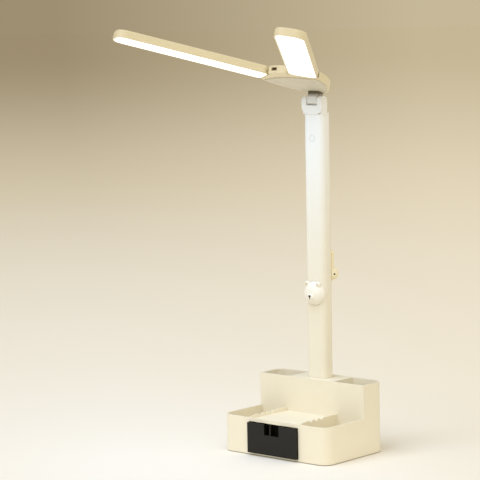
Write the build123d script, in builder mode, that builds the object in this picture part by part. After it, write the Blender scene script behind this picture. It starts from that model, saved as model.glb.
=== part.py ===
"""Desk lamp that stands on an organiser base with a drawer, two pen wells and two trays.

Frame: millimetres, origin at the centre of the base's underside, +X right, -Y front, +Z up.
The head is drawn tilted up on its neck hinge, with both light panels level with the hub.
"""

import os
from math import cos, radians, sin

from build123d import *

os.makedirs("parts", exist_ok=True)

CENTRE, LOW, HIGH = Align.CENTER, Align.MIN, Align.MAX
SIDES = {"left": -1, "right": 1}

# ---------------------------------------------------------------- driving sizes

# Base housing
base_width = 180.0
base_depth = 124.0
base_corner = 15.0
wall = 2.4
tray_height = 49.2
block_height = 94.0
block_depth = 44.3
floor_space = 3.6
floor_thickness = 2.0
deck_thickness = 2.4
well_inner = 38.0
well_corner = 2.5

# Drawer bay and the toothed rails above it
bay_half = 42.6
bay_wall = 1.8
bay_top = 44.3
platform_thickness = 2.2
rail_rise = 4.5
notch_count = 3
notch_pitch = 11.2
notch_first = -37.0
notch_depth = 3.2
notch_half = 3.2
rail_slope_length = 12.0

# Underside
cover_thickness = 2.4
cover_gap = 0.2
foot_radius = 7.0
foot_drop = 1.0
foot_recess = 0.6
foot_corner_inset = 15.0
cover_screw_x = 58.0
cover_screw_y = 50.0
boss_radius = 4.0

# Drawer
drawer_gap = 0.4
drawer_top_gap = 0.8
drawer_back_gap = 0.7
drawer_stand_out = 4.0
drawer_wall = 1.6
drawer_face = 2.2
drawer_floor = 1.8
drawer_side_drop = 2.0
pull_width = 25.0
pull_height = 14.0
pull_depth = 9.0
stop_x = 30.0
stop_width = 8.0
stop_thickness = 2.0
stop_height = 1.9
stop_behind_front = 5.0

# Ballast, battery and electronics
ballast_half = 52.0
ballast_thickness = 3.2
ballast_gap = 1.0
cell_radius = 9.2
cell_length = 65.0
holder_floor = 1.4
holder_wall = 1.6
holder_gap = 0.4
cell_gap = 0.1
board_thickness = 1.6
board_height = 33.0
board_gap = 0.3
rib_depth = 2.4
rib_height = 2.0
rib_gap = 0.2
board_front_gap = 4.0
socket_width = 9.0
socket_height = 3.3
socket_depth = 7.4
socket_shell = 0.35
socket_inset = 0.3
tongue_width = 6.7
tongue_thickness = 0.7
port_gap = 0.3

# Column
column_from_back = 23.0
column_width = 33.0
column_thick = 21.0
column_corner = 8.0
column_wall = 2.0
column_top = 450.0
column_seat = 66.0
deck_gap = 0.3
core_width = 12.0
core_depth = 8.0
core_wall = 1.2
core_back = 3.0
core_gap = 0.1
cable_radius = 2.2
column_screw_x = 9.6
column_screw_heights = (130.0, 380.0)
front_boss = 2.6
back_boss = 3.2

# Root bracket
bracket_wall = 2.3
bracket_floor = 6.0
bracket_stop = 1.5
bracket_gap = 0.15
flange_height = 6.0
flange_above_seat = 4.0
flange_half = 34.0
flange_depth_half = 13.5
root_screw_x = 28.0
root_screw_y = 9.0
root_boss = 3.6

# Touch control
touch_height = 418.0
touch_radius = 5.0
touch_gap = 3.0
touch_board_width = 18.0
touch_board_thickness = 1.2
touch_board_low = 402.0
touch_board_high = 436.0
touch_boss = 2.2
touch_boss_inset = 3.0
stake_radius = 0.9
stake_length = 1.7

# Neck fork and tilt hinge
fork_half = 17.0
fork_radius = 6.2
fork_rise = 18.0
fork_forward = 5.3
fork_corner = 10.0
fork_pad = 3.5
fork_slot_half = 9.2
shoulder = 2.0
plug_length = 12.0
plug_gap = 0.3
plug_socket = 9.0
tilt_pin_radius = 2.5
tilt_pin_half = 14.4
washer_radius = 5.0
washer_thickness = 0.7
cap_radius = 3.5
cap_thickness = 1.2
cap_gap = 0.1

# Head: the hub's plane is the underside of the hub and of both light panels
head_tilt = 18.1
hub_forward = 52.4
hub_rise = 12.8
hub_thickness = 10.6
hub_wall = 2.0
hub_front = 34.5
hub_nose_half = 15.9
hub_nose_forward = 27.85
nose_reach = 4.0
nose_round = 3.0
nose_window = (10.0, 4.4, 4.0)
nose_window_x = -4.5
nose_window_height = 5.6
hub_waist = (43.5, 19.0)
hub_shoulder = (24.0, 49.0)
hub_rear = 63.0
hub_corner = 5.0
hub_blend = 12.0
hub_edge_round = 1.0
lower_rim = 2.6
lower_front = 14.0
lower_front_radius = 93.0
lower_drop = 1.2
lower_seat = 1.8
lower_round = 1.0
tongue_gap = 0.3
tongue_flange_half = 11.0
tongue_flange_front = 30.0
tongue_flange_back = 57.0
tongue_flange_thick = 2.5
hub_board_size = (40.0, 20.0, 1.2)
hub_board_y = 8.0
hub_screw_places = ((-30.0, 6.0), (30.0, 6.0), (-15.0, 42.0), (15.0, 42.0))
hub_boss = 2.6
tongue_screw_x = 6.5
tongue_screw_y = 36.0

# Light panels and their hinges
panel_angle = 33.5
panel_length = 208.9
panel_width = 39.3
panel_rim = 1.6
panel_ledge = 1.2
panel_roof = 1.8
panel_inner_corner = 9.0
panel_outer_corner = 14.0
panel_crown = 2.5
panel_round = 1.4
diffuser_thickness = 1.6
diffuser_inset = 0.2
diffuser_gap = 0.15
led_board_width = 32.0
led_board_thickness = 1.2
led_size = 3.0
led_height = 0.7
led_rows = 2
led_columns = 14
hinge_height = 6.3
hinge_gap = 0.15
hinge_clear = 4.5
lip_thickness = 2.6
knuckle_radius = 3.4
knuckle_half = 8.0
lug_gap = 0.3
lug_length = 5.7
hinge_pin_radius = 1.4
pin_end = 0.3

# Fits shared by the whole lamp
pin_fit = 0.02
running_fit = 0.05
screw_fit = 0.05
pass_fit = 0.2
screw_head_height = 1.2
screw_head_radius = 2.2
screw_radius = 1.15

# Bear ornaments
bear_radii = (17.0, 11.0, 15.5)
bear_height = 210.5
bear_forward = 8.9
bear_wrap = 5.0
bear_gap = 0.1
ear_radii = (3.8, 3.0, 3.8)
ear_x = 9.0
ear_forward = 5.5
ear_rise = 12.6
muzzle_radii = (6.0, 3.4, 4.6)
muzzle_drop = 5.2
muzzle_forward = 9.0
nose_radii = (1.5, 0.9, 1.2)
nose_drop = 4.2
nose_forward = 12.2
cub_head_radius = 7.6
cub_head_at = (12.5, 13.5, 233.5)
cub_ear_radius = 2.5
cub_ear_spread = 6.4
cub_ear_rise = 6.4
cub_chest_radius = 6.4
cub_chest_at = (3.0, 14.0, 226.0)
cub_belly_radius = 6.8
cub_belly_at = (-1.5, 14.5, 218.0)
cub_arm_radius = 2.3
cub_arm_from = (11.8, 11.6, 234.0)
cub_arm_to = (11.8, 11.6, 263.0)
cub_paw_radius = 3.0
cub_leg_radius = 3.6
cub_leg_shift = (4.6, 2.4, -5.6)
cub_nose_radius = 1.2
cub_nose_offset = (6.3, -4.1, 0.9)

# ---------------------------------------------------------------- derived places

front_inside = -base_depth / 2 + wall
back_inside = base_depth / 2 - wall
floor_underside = cover_thickness + floor_space
floor_top = floor_underside + floor_thickness
bay_outer = bay_half + bay_wall
block_front = base_depth / 2 - block_depth
well_front = block_front + wall
cell_half = well_inner - wall
deck_underside = block_height - deck_thickness
platform_top = bay_top + platform_thickness
rail_top = platform_top + rail_rise

column_y = base_depth / 2 - column_from_back
column_front = column_y - column_thick / 2
column_back = column_y + column_thick / 2
inner_front = column_front + column_wall
inner_back = column_back - column_wall
core_y = column_y + core_back

pivot_y = column_y - fork_forward
pivot_z = column_top + fork_rise
pivot = Vector(0, pivot_y, pivot_z)

hub_normal = Vector(0, sin(radians(head_tilt)), cos(radians(head_tilt)))
hub_back = Vector(0, cos(radians(head_tilt)), -sin(radians(head_tilt)))
hub_origin = pivot - hub_back * hub_forward + hub_normal * hub_rise
hub_plane = Plane(origin=hub_origin, x_dir=(1, 0, 0), z_dir=hub_normal)
hub_up = Axis(hub_origin, hub_normal)
hub_roof = hub_thickness - hub_wall
hub_side_plane = Plane(origin=hub_origin, x_dir=hub_back, z_dir=(1, 0, 0))

# The hinge line crosses the inner end of each panel, square to the panel's length
half_panel = panel_width / 2
hinge_x = hub_nose_half + half_panel * cos(radians(panel_angle))
hinge_y = half_panel * sin(radians(panel_angle)) - hub_nose_forward
panel_roof_height = hub_thickness - panel_roof
cavity_start = hinge_clear + panel_roof
lug_outer = knuckle_half + lug_gap + lug_length


def upright(height):
    """The horizontal plane at a height."""
    return Plane.XY.offset(height)


def panel_plane(side):
    """A panel's own plane: x along the panel from its hinge line, z up through its thickness."""
    turn = radians(panel_angle)
    along = hub_plane.x_dir * (side * sin(turn)) - hub_back * cos(turn)
    start = hub_plane.from_local_coords(Vector(side * hinge_x, hinge_y, 0))
    return Plane(origin=start, x_dir=along, z_dir=hub_normal)


def wall_plane(y):
    """An upright plane facing back at a depth: its x runs to -X and its y runs up."""
    return Plane(origin=(0, y, 0), x_dir=(-1, 0, 0), z_dir=(0, 1, 0))


def hinge_section(side, offset):
    """A plane across a hinge line at a distance along it: x leads to the panel, y up."""
    frame = panel_plane(side)
    return Plane(origin=frame.origin + frame.y_dir * offset, x_dir=frame.x_dir, z_dir=-frame.y_dir)


def save(piece, name):
    """Label a finished piece and write it under its own name."""
    piece.part.label = name
    export_step(piece.part, f"parts/{name}.step")


# ---------------------------------------------------------------- shared outlines


def base_plan(inset, front=None):
    """The base's rounded outline, kept behind a front line where one is given."""
    RectangleRounded(base_width - 2 * inset, base_depth - 2 * inset, base_corner - inset)
    if front is not None:
        with Locations((0, front)):
            Rectangle(base_width, base_depth, align=(CENTRE, HIGH), mode=Mode.SUBTRACT)


def column_plan(grow=0.0, mode=Mode.ADD):
    """The column's rounded section, grown or shrunk evenly, about the column's own axis."""
    size = (column_width + 2 * grow, column_thick + 2 * grow)
    with Locations((0, column_y)):
        RectangleRounded(*size, column_corner + grow, mode=mode)


def corner_places(x, y):
    """Four places mirrored about both axes."""
    return [(sx * x, sy * y) for sx in (-1, 1) for sy in (-1, 1)]


def hub_plan(sketch, inset=0.0):
    """The hub's outline, drawn in evenly: a nose, an edge along each hinge line, a round tail."""
    turn = radians(panel_angle)
    along = Vector(sin(turn), -cos(turn))
    across = Vector(cos(turn), sin(turn))
    middle = Vector(hinge_x, hinge_y) - along * hinge_gap
    tip = middle + across * half_panel
    root = middle - across * (half_panel + lug_gap)
    nose = root + along * nose_reach
    with BuildLine() as edge:
        ThreePointArc((-nose.X, nose.Y), (0, -hub_front), (nose.X, nose.Y))
        for side in (-1, 1):
            Polyline((side * nose.X, nose.Y), (side * root.X, root.Y), (side * tip.X, tip.Y))
            waist = (side * hub_waist[0], hub_waist[1])
            ThreePointArc((side * tip.X, tip.Y), waist, (side * hub_shoulder[0], hub_shoulder[1]))
        ThreePointArc((hub_shoulder[0], hub_shoulder[1]), (0, hub_rear), (-hub_shoulder[0], hub_shoulder[1]))
    make_face(edge.edges())
    if inset:
        offset(amount=-inset)
    tips = sketch.vertices().sort_by(Axis.X)
    fillet([tips[0], tips[-1]], hub_corner - inset)
    fillet(sketch.vertices().sort_by(Axis.Y)[-2:], hub_blend - inset)
    fillet(sketch.vertices().sort_by(Axis.Y)[:2], nose_round - inset)


def panel_outline(inset):
    """A light panel's outline: round inner corners, a gently crowned outer end."""
    start = hinge_gap + inset
    half = half_panel - inset
    end = panel_length - inset
    with BuildLine() as edge:
        Polyline((end - panel_crown, -half), (start, -half), (start, half), (end - panel_crown, half))
        ThreePointArc((end - panel_crown, half), (end, 0), (end - panel_crown, -half))
    make_face(edge.edges())


def soften_panel(sketch, inset):
    """Round a panel outline's four corners."""
    ends = sketch.vertices().sort_by(Axis.X)
    fillet(ends[:2], panel_inner_corner - inset)
    fillet(sketch.vertices().sort_by(Axis.X)[-2:], panel_outer_corner - inset)


def hinge_band(side, start, end, half_length):
    """A strip beside a hinge line, drawn on the hub's plane, between two distances from it."""
    turn = radians(panel_angle)
    middle = (start + end) / 2
    x = side * (hinge_x + middle * sin(turn))
    y = hinge_y - middle * cos(turn)
    with Locations(Location((x, y, 0), (0, 0, side * panel_angle))):
        Rectangle(2 * half_length, end - start, mode=Mode.SUBTRACT)


# ---------------------------------------------------------------- base housing

cover_bosses = corner_places(cover_screw_x, cover_screw_y)
root_places = [(x, column_y + y) for x, y in corner_places(root_screw_x, root_screw_y)]
flange_low = column_seat + flange_above_seat
flange_top = flange_low + flange_height
board_top = board_height + board_thickness
socket_centre = board_top + socket_height / 2


def tray_plan(sketch):
    """Both trays: the inside of the base ahead of the block and outside the drawer bay."""
    base_plan(wall)
    Rectangle(2 * bay_outer, base_depth, mode=Mode.SUBTRACT)
    with Locations((0, block_front)):
        Rectangle(base_width, base_depth, align=(CENTRE, LOW), mode=Mode.SUBTRACT)
    inner = [v for v in sketch.vertices() if abs(v.X) < bay_outer + wall]
    fillet(inner, well_corner)


def well_plan(sketch):
    """Both pen wells: the inside of the block outside its middle compartment."""
    base_plan(wall, well_front)
    Rectangle(2 * well_inner, 2 * base_depth, mode=Mode.SUBTRACT)
    inner = [v for v in sketch.vertices() if abs(v.X) < well_inner + wall or v.Y < well_front + wall]
    fillet(inner, well_corner)


def rail_profile():
    """A bay wall seen from the side, with its pen notches and its slope down to the front rim."""
    top = [(well_front, cover_thickness), (well_front, rail_top)]
    for step in reversed(range(notch_count)):
        middle = notch_first + step * notch_pitch
        top += [(middle + notch_half, rail_top), (middle, rail_top - notch_depth), (middle - notch_half, rail_top)]
    top += [(front_inside + rail_slope_length, rail_top), (front_inside, tray_height)]
    Polygon(*top, (front_inside, cover_thickness), align=None)


with BuildPart() as base_housing:
    # Outer form: a low tray with a tall block behind it
    with BuildSketch():
        base_plan(0)
    extrude(amount=tray_height)
    with BuildSketch(upright(tray_height)):
        base_plan(0, block_front)
    extrude(amount=block_height - tray_height)
    # Hollow underside, trays and pen wells
    with BuildSketch():
        base_plan(wall)
    extrude(amount=floor_underside, mode=Mode.SUBTRACT)
    with BuildSketch(upright(floor_top)) as trays:
        tray_plan(trays)
    extrude(amount=block_height, mode=Mode.SUBTRACT)
    with BuildSketch(upright(floor_top)) as wells:
        well_plan(wells)
    extrude(amount=block_height, mode=Mode.SUBTRACT)
    # Platform between the rails, the rails themselves and the wall behind the drawer
    with Locations((0, block_front, platform_top)):
        platform_size = (2 * bay_outer, block_front - front_inside, block_height)
        Box(*platform_size, align=(CENTRE, HIGH, LOW), mode=Mode.SUBTRACT)
    for start in (-bay_outer, bay_half):
        with BuildSketch(Plane.YZ.offset(start)):
            rail_profile()
        extrude(amount=bay_wall)
    with Locations((0, block_front, cover_thickness)):
        Box(2 * bay_outer, wall, floor_top, align=(CENTRE, LOW, LOW))
    # Drawer bay and the stops that hang under the platform
    with Locations((0, block_front, cover_thickness)):
        bay_size = (2 * bay_half, base_depth, bay_top - cover_thickness)
        Box(*bay_size, align=(CENTRE, HIGH, LOW), mode=Mode.SUBTRACT)
    with Locations(*[(side * stop_x, stop_behind_front - base_depth / 2, bay_top) for side in (-1, 1)]):
        Box(stop_width, stop_thickness, stop_height, align=(CENTRE, LOW, HIGH))
    # Compartment for the electronics, open below, with the column's hole in its deck
    with Locations((0, well_front, 0)):
        cell_size = (2 * cell_half, back_inside - well_front, deck_underside)
        Box(*cell_size, align=(CENTRE, LOW, LOW), mode=Mode.SUBTRACT)
    with BuildSketch(upright(deck_underside)):
        column_plan(deck_gap)
    extrude(amount=deck_thickness, mode=Mode.SUBTRACT)
    # Ribs that hold the control board's two edges
    rib_length = back_inside - well_front - board_front_gap
    for low in (board_height - rib_height, board_top + rib_gap):
        for side in (-1, 1):
            with Locations((side * (cell_half - rib_depth / 2), back_inside, low)):
                Box(rib_depth, rib_length, rib_height, align=(CENTRE, HIGH, LOW))
    # Screw bosses under the deck and under the floors
    with BuildSketch(upright(flange_top)):
        with Locations(*root_places):
            Circle(root_boss)
            Circle(screw_radius + screw_fit, mode=Mode.SUBTRACT)
    extrude(amount=deck_underside - flange_top)
    with BuildSketch(upright(cover_thickness)):
        with Locations(*cover_bosses):
            Circle(boss_radius)
            Circle(screw_radius + screw_fit, mode=Mode.SUBTRACT)
    extrude(amount=floor_space)
    # Charging port through the back wall
    with BuildSketch(wall_plane(back_inside)):
        with Locations((0, socket_centre)):
            SlotOverall(socket_width + 2 * port_gap, socket_height + 2 * port_gap)
    extrude(amount=wall, mode=Mode.SUBTRACT)
save(base_housing, "base_housing")

# ---------------------------------------------------------------- underside

foot_places = corner_places(base_width / 2 - foot_corner_inset, base_depth / 2 - foot_corner_inset)
head_recess = screw_head_height + pass_fit
cover_screw_tip = floor_underside - pass_fit

with BuildPart() as bottom_cover:
    with BuildSketch():
        base_plan(wall + cover_gap)
    extrude(amount=cover_thickness)
    with BuildSketch():
        with Locations(*foot_places):
            Circle(foot_radius + pass_fit)
    extrude(amount=foot_recess, mode=Mode.SUBTRACT)
    with BuildSketch():
        with Locations(*cover_bosses):
            Circle(screw_head_radius + pass_fit)
    extrude(amount=head_recess, mode=Mode.SUBTRACT)
    with BuildSketch():
        with Locations(*cover_bosses):
            Circle(screw_radius + pass_fit)
    extrude(amount=cover_thickness, mode=Mode.SUBTRACT)
save(bottom_cover, "bottom_cover")

with BuildPart() as rubber_feet:
    with BuildSketch(upright(-foot_drop)):
        with Locations(*foot_places):
            Circle(foot_radius)
    extrude(amount=foot_drop + foot_recess)
    fillet(rubber_feet.faces().group_by(Axis.Z)[0].edges(), foot_drop / 2)
save(rubber_feet, "rubber_feet")


def screw_set(places, plane, seat, length):
    """Pan-head screws in the open part: heads below a seat height on a plane, shanks above it."""
    with BuildSketch(plane.offset(seat - screw_head_height)) as heads:
        with Locations(*places):
            Circle(screw_head_radius)
    extrude(heads.sketch, amount=screw_head_height)
    with BuildSketch(plane.offset(seat)) as shanks:
        with Locations(*places):
            Circle(screw_radius)
    extrude(shanks.sketch, amount=length)


with BuildPart() as bottom_cover_screws:
    screw_set(cover_bosses, Plane.XY, head_recess, cover_screw_tip - head_recess)
save(bottom_cover_screws, "bottom_cover_screws")

ballast_depth = back_inside - well_front - 2 * ballast_gap
ballast_top = cover_thickness + ballast_thickness

with BuildPart() as ballast_plate:
    with Locations((0, well_front + ballast_gap, cover_thickness)):
        Box(2 * ballast_half, ballast_depth, ballast_thickness, align=(CENTRE, LOW, LOW))
    fillet(ballast_plate.edges().filter_by(Axis.Z), well_corner)
save(ballast_plate, "ballast_plate")

# ---------------------------------------------------------------- drawer

drawer_half = bay_half - drawer_gap
drawer_low = cover_thickness + drawer_gap
drawer_top = bay_top - drawer_top_gap
drawer_front = -base_depth / 2 - drawer_stand_out
drawer_back = block_front - drawer_back_gap
side_top = drawer_top - drawer_side_drop

with BuildPart() as drawer:
    with Locations((0, drawer_front, drawer_low)):
        box_size = (2 * drawer_half, drawer_back - drawer_front, side_top - drawer_low)
        Box(*box_size, align=(CENTRE, LOW, LOW))
        Box(2 * drawer_half, drawer_face, drawer_top - drawer_low, align=(CENTRE, LOW, LOW))
    # Inside, left open at the top
    with Locations((0, drawer_front + drawer_face, drawer_low + drawer_floor)):
        inside = (2 * (drawer_half - drawer_wall), drawer_back - drawer_wall - drawer_front - drawer_face)
        Box(*inside, drawer_top, align=(CENTRE, LOW, LOW), mode=Mode.SUBTRACT)
    # Finger pull: a pocket let into the face from its top edge
    with Locations((0, drawer_front, drawer_top - pull_height - drawer_wall)):
        pocket = (pull_width + 2 * drawer_wall, pull_depth + drawer_wall)
        Box(*pocket, side_top - drawer_top + pull_height + drawer_wall, align=(CENTRE, LOW, LOW))
    with Locations((0, drawer_front, drawer_top)):
        Box(pull_width, pull_depth, pull_height, align=(CENTRE, LOW, HIGH), mode=Mode.SUBTRACT)
    # Tabs on the back wall that meet the stops under the platform
    with Locations(*[(side * stop_x, drawer_back, side_top) for side in (-1, 1)]):
        Box(stop_width, drawer_wall, drawer_side_drop, align=(CENTRE, HIGH, LOW))
    fillet(drawer.edges().filter_by(Axis.X).group_by(Axis.Y)[0], pass_fit)
save(drawer, "drawer")

# ---------------------------------------------------------------- battery and electronics

cell_y = back_inside - holder_gap - holder_wall - cell_gap - cell_radius
cell_z = ballast_top + holder_floor + cell_gap + cell_radius
cell_room = cell_length + 2 * cell_gap

with BuildPart() as battery_holder:
    with Locations((0, cell_y, ballast_top)):
        holder_depth = 2 * (cell_radius + cell_gap + holder_wall)
        holder_size = (cell_room + 2 * holder_wall, holder_depth, holder_floor + cell_radius)
        Box(*holder_size, align=(CENTRE, CENTRE, LOW))
    with Locations(Location((0, cell_y, cell_z), (0, 90, 0))):
        Cylinder(cell_radius + cell_gap, cell_room, mode=Mode.SUBTRACT)
save(battery_holder, "battery_holder")

with BuildPart() as battery_cell:
    with Locations(Location((0, cell_y, cell_z), (0, 90, 0))):
        Cylinder(cell_radius, cell_length)
    fillet(battery_cell.edges(), cell_gap * 5)
save(battery_cell, "battery_cell")

board_low_y = well_front + board_front_gap
chips = {(-19.0, 31.0): (9.0, 9.0, 4.5), (15.0, 32.0): (7.0, 7.0, 1.4), (-18.0, 50.0): (10.0, 6.0, 5.6)}

with BuildPart() as control_board:
    with Locations((0, board_low_y, board_height)):
        board_size = (2 * (cell_half - board_gap), back_inside - board_gap - board_low_y, board_thickness)
        Box(*board_size, align=(CENTRE, LOW, LOW))
    for place, size in chips.items():
        with Locations((*place, board_top)):
            Box(*size, align=(CENTRE, CENTRE, LOW))
save(control_board, "control_board")

socket_back = base_depth / 2 - socket_inset

with BuildPart() as charging_socket:
    with BuildSketch(wall_plane(socket_back - socket_depth)):
        with Locations((0, socket_centre)):
            SlotOverall(socket_width, socket_height)
    extrude(amount=socket_depth)
    with BuildSketch(wall_plane(socket_back - socket_depth + holder_wall)):
        with Locations((0, socket_centre)):
            SlotOverall(socket_width - 2 * socket_shell, socket_height - 2 * socket_shell)
            Rectangle(tongue_width, tongue_thickness, mode=Mode.SUBTRACT)
    extrude(amount=socket_depth, mode=Mode.SUBTRACT)
save(charging_socket, "charging_socket")

# ---------------------------------------------------------------- column

core_low = column_seat - bracket_floor + bracket_stop
plug_low = column_top - plug_length
core_high = plug_low + plug_socket
cable_high = core_high + cable_radius / 2
core_room = (core_width + 2 * core_gap, core_depth + 2 * core_gap)
bracket_low = column_seat - bracket_floor

with BuildPart() as root_bracket:
    with BuildSketch(upright(bracket_low)):
        column_plan(bracket_gap + bracket_wall)
    extrude(amount=deck_underside - bracket_low)
    with Locations((0, column_y, flange_low)):
        Box(2 * flange_half, 2 * flange_depth_half, flange_height, align=(CENTRE, CENTRE, LOW))
    with BuildSketch(upright(column_seat)):
        column_plan(bracket_gap)
    extrude(amount=deck_underside - column_seat, mode=Mode.SUBTRACT)
    with BuildSketch(upright(core_low)):
        with Locations((0, core_y)):
            Rectangle(*core_room)
    extrude(amount=column_seat - core_low, mode=Mode.SUBTRACT)
    with BuildSketch(upright(bracket_low)):
        with Locations((0, core_y)):
            Circle(cable_radius + pass_fit)
    extrude(amount=bracket_stop, mode=Mode.SUBTRACT)
    with BuildSketch(upright(flange_low)):
        with Locations(*root_places):
            Circle(screw_radius + pass_fit)
    extrude(amount=flange_height, mode=Mode.SUBTRACT)
save(root_bracket, "root_bracket")

with BuildPart() as root_bracket_screws:
    screw_set(root_places, Plane.XY, flange_low, deck_underside - flange_low - deck_thickness)
save(root_bracket_screws, "root_bracket_screws")


def half_shell(side):
    """Half of the column's hollow section, from its seat to its top: side -1 is the front half."""
    with BuildSketch(upright(column_seat)) as section:
        column_plan()
        column_plan(-column_wall, Mode.SUBTRACT)
        with Locations((0, column_y)):
            other = LOW if side < 0 else HIGH
            Rectangle(2 * column_width, column_thick, align=(CENTRE, other), mode=Mode.SUBTRACT)
    extrude(section.sketch, amount=column_top - column_seat)


column_screw_places = [(side * column_screw_x, z) for side in (-1, 1) for z in column_screw_heights]
touch_bosses = [(0, touch_board_low + touch_boss_inset), (0, touch_board_high - touch_boss_inset)]
screw_seat = column_back - column_wall - touch_gap
screw_bite = front_boss

with BuildPart() as column_front_shell:
    half_shell(-1)
    with BuildSketch(wall_plane(inner_front)):
        with Locations(*column_screw_places):
            Circle(front_boss)
    extrude(amount=column_y - inner_front)
    with BuildSketch(wall_plane(inner_front + screw_bite)):
        with Locations(*column_screw_places):
            Circle(screw_radius + screw_fit)
    extrude(amount=column_y - inner_front - screw_bite, mode=Mode.SUBTRACT)
    with BuildSketch(wall_plane(inner_front)):
        with Locations(*touch_bosses):
            Circle(touch_boss)
    extrude(amount=touch_gap)
    with BuildSketch(wall_plane(inner_front + touch_gap)):
        with Locations(*touch_bosses):
            Circle(stake_radius)
    extrude(amount=stake_length)
save(column_front_shell, "column_front_shell")

with BuildPart() as column_back_shell:
    half_shell(1)
    with BuildSketch(wall_plane(column_y)):
        with Locations(*column_screw_places):
            Circle(back_boss)
    extrude(amount=inner_back - column_y)
    with BuildSketch(wall_plane(column_y)):
        with Locations(*column_screw_places):
            Circle(screw_radius + pass_fit)
    extrude(amount=column_thick, mode=Mode.SUBTRACT)
    with BuildSketch(wall_plane(screw_seat)):
        with Locations(*column_screw_places):
            Circle(screw_head_radius + pass_fit)
    extrude(amount=column_thick, mode=Mode.SUBTRACT)
save(column_back_shell, "column_back_shell")

# Screws driven from the back, so their plane faces forward
screw_plane = Plane(origin=(0, screw_seat, 0), x_dir=(1, 0, 0), z_dir=(0, -1, 0))
screw_reach = screw_seat - inner_front - screw_bite - pass_fit

with BuildPart() as column_screws:
    screw_set(column_screw_places, screw_plane, 0, screw_reach)
save(column_screws, "column_screws")

with BuildPart() as column_core:
    with BuildSketch(upright(core_low)):
        with Locations((0, core_y)):
            Rectangle(core_width, core_depth)
            Rectangle(core_width - 2 * core_wall, core_depth - 2 * core_wall, mode=Mode.SUBTRACT)
    extrude(amount=core_high - core_low)
save(column_core, "column_core")

with BuildPart() as wire_harness:
    with BuildSketch(upright(board_top)):
        with Locations((0, core_y)):
            Circle(cable_radius)
    extrude(amount=cable_high - board_top)
save(wire_harness, "wire_harness")

with BuildPart() as touch_board:
    with BuildSketch(wall_plane(inner_front + touch_gap)):
        with Locations((0, (touch_board_low + touch_board_high) / 2)):
            Rectangle(touch_board_width, touch_board_high - touch_board_low)
        with Locations(*touch_bosses):
            Circle(stake_radius + screw_fit, mode=Mode.SUBTRACT)
    extrude(amount=touch_board_thickness)
save(touch_board, "touch_board")

with BuildPart() as touch_pad:
    with BuildSketch(wall_plane(inner_front)):
        with Locations((0, touch_height)):
            Circle(touch_radius)
    extrude(amount=touch_gap)
save(touch_pad, "touch_pad")

# ---------------------------------------------------------------- neck and tilt hinge

fork_front = pivot_y - fork_radius
slot_floor = pivot_z - fork_radius


def along_x(start):
    """A plane across the tilt hinge at a distance along X, centred on the pivot."""
    return Plane(origin=(start, pivot_y, pivot_z), x_dir=(0, 1, 0), z_dir=(1, 0, 0))


with BuildPart() as neck_fork:
    with BuildSketch(upright(plug_low)):
        column_plan(-column_wall - plug_gap)
    extrude(amount=plug_length)
    with BuildSketch(upright(column_top)):
        column_plan()
    extrude(amount=shoulder)
    # The two arms, made as one block with a round top and slotted
    with BuildSketch(along_x(-fork_half)):
        Circle(fork_radius)
        Rectangle(2 * fork_radius, fork_rise, align=(CENTRE, HIGH))
    extrude(amount=2 * fork_half)
    with BuildSketch(wall_plane(fork_front)):
        for side in (-1, 1):
            with Locations((side * fork_half, column_top)):
                Rectangle(2 * fork_corner, 2 * fork_corner)
            with Locations((side * (fork_half - fork_corner), column_top + fork_corner)):
                Circle(fork_corner, mode=Mode.SUBTRACT)
        Rectangle(2 * (fork_half - fork_corner), 2 * block_height + 2 * column_top, mode=Mode.SUBTRACT)
        with Locations((0, column_top + fork_corner)):
            Rectangle(4 * fork_half, column_top, align=(CENTRE, LOW), mode=Mode.SUBTRACT)
    extrude(amount=fork_pad, mode=Mode.SUBTRACT)
    with Locations((0, pivot_y, slot_floor)):
        Box(2 * fork_slot_half, column_thick, column_top, align=(CENTRE, CENTRE, LOW), mode=Mode.SUBTRACT)
    # Pivot bore with a capped recess at each end
    with BuildSketch(along_x(-fork_half)):
        Circle(tilt_pin_radius + pin_fit)
    extrude(amount=2 * fork_half, mode=Mode.SUBTRACT)
    for start in (-fork_half, fork_half - cap_thickness - cap_gap):
        with BuildSketch(along_x(start)):
            Circle(cap_radius + cap_gap)
        extrude(amount=cap_thickness + cap_gap, mode=Mode.SUBTRACT)
    # Socket for the core tube and the cable's hole above it
    with BuildSketch(upright(plug_low)):
        with Locations((0, core_y)):
            Rectangle(*core_room)
    extrude(amount=plug_socket, mode=Mode.SUBTRACT)
    with BuildSketch(upright(core_high)):
        with Locations((0, core_y)):
            Circle(cable_radius + pass_fit)
    extrude(amount=cable_radius, mode=Mode.SUBTRACT)
save(neck_fork, "neck_fork")

with BuildPart() as tilt_pin:
    with BuildSketch(along_x(-tilt_pin_half)):
        Circle(tilt_pin_radius)
    extrude(amount=2 * tilt_pin_half)
save(tilt_pin, "tilt_pin")

with BuildPart() as tilt_washers:
    for start in (-fork_slot_half, fork_slot_half - washer_thickness):
        with BuildSketch(along_x(start)):
            Circle(washer_radius)
            Circle(tilt_pin_radius + running_fit, mode=Mode.SUBTRACT)
        extrude(amount=washer_thickness)
save(tilt_washers, "tilt_washers")

with BuildPart() as tilt_pin_caps:
    for start in (cap_gap - fork_half, fork_half - cap_thickness - cap_gap):
        with BuildSketch(along_x(start)):
            Circle(cap_radius)
        extrude(amount=cap_thickness)
save(tilt_pin_caps, "tilt_pin_caps")

# ---------------------------------------------------------------- hub

tongue_half = fork_slot_half - washer_thickness - tongue_gap
tongue_radius = fork_radius - tongue_gap
tongue_screws_at = [(-tongue_screw_x, tongue_screw_y), (tongue_screw_x, tongue_screw_y)]
flange_roof = lower_seat + tongue_flange_thick
lug_starts = (lug_outer, -knuckle_half - lug_gap)
nose_window_at = hub_plane.from_local_coords(Vector(nose_window_x, -hub_front, nose_window_height))
nose_window_plane = Plane(origin=nose_window_at, x_dir=(1, 0, 0), z_dir=-hub_back)


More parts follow.
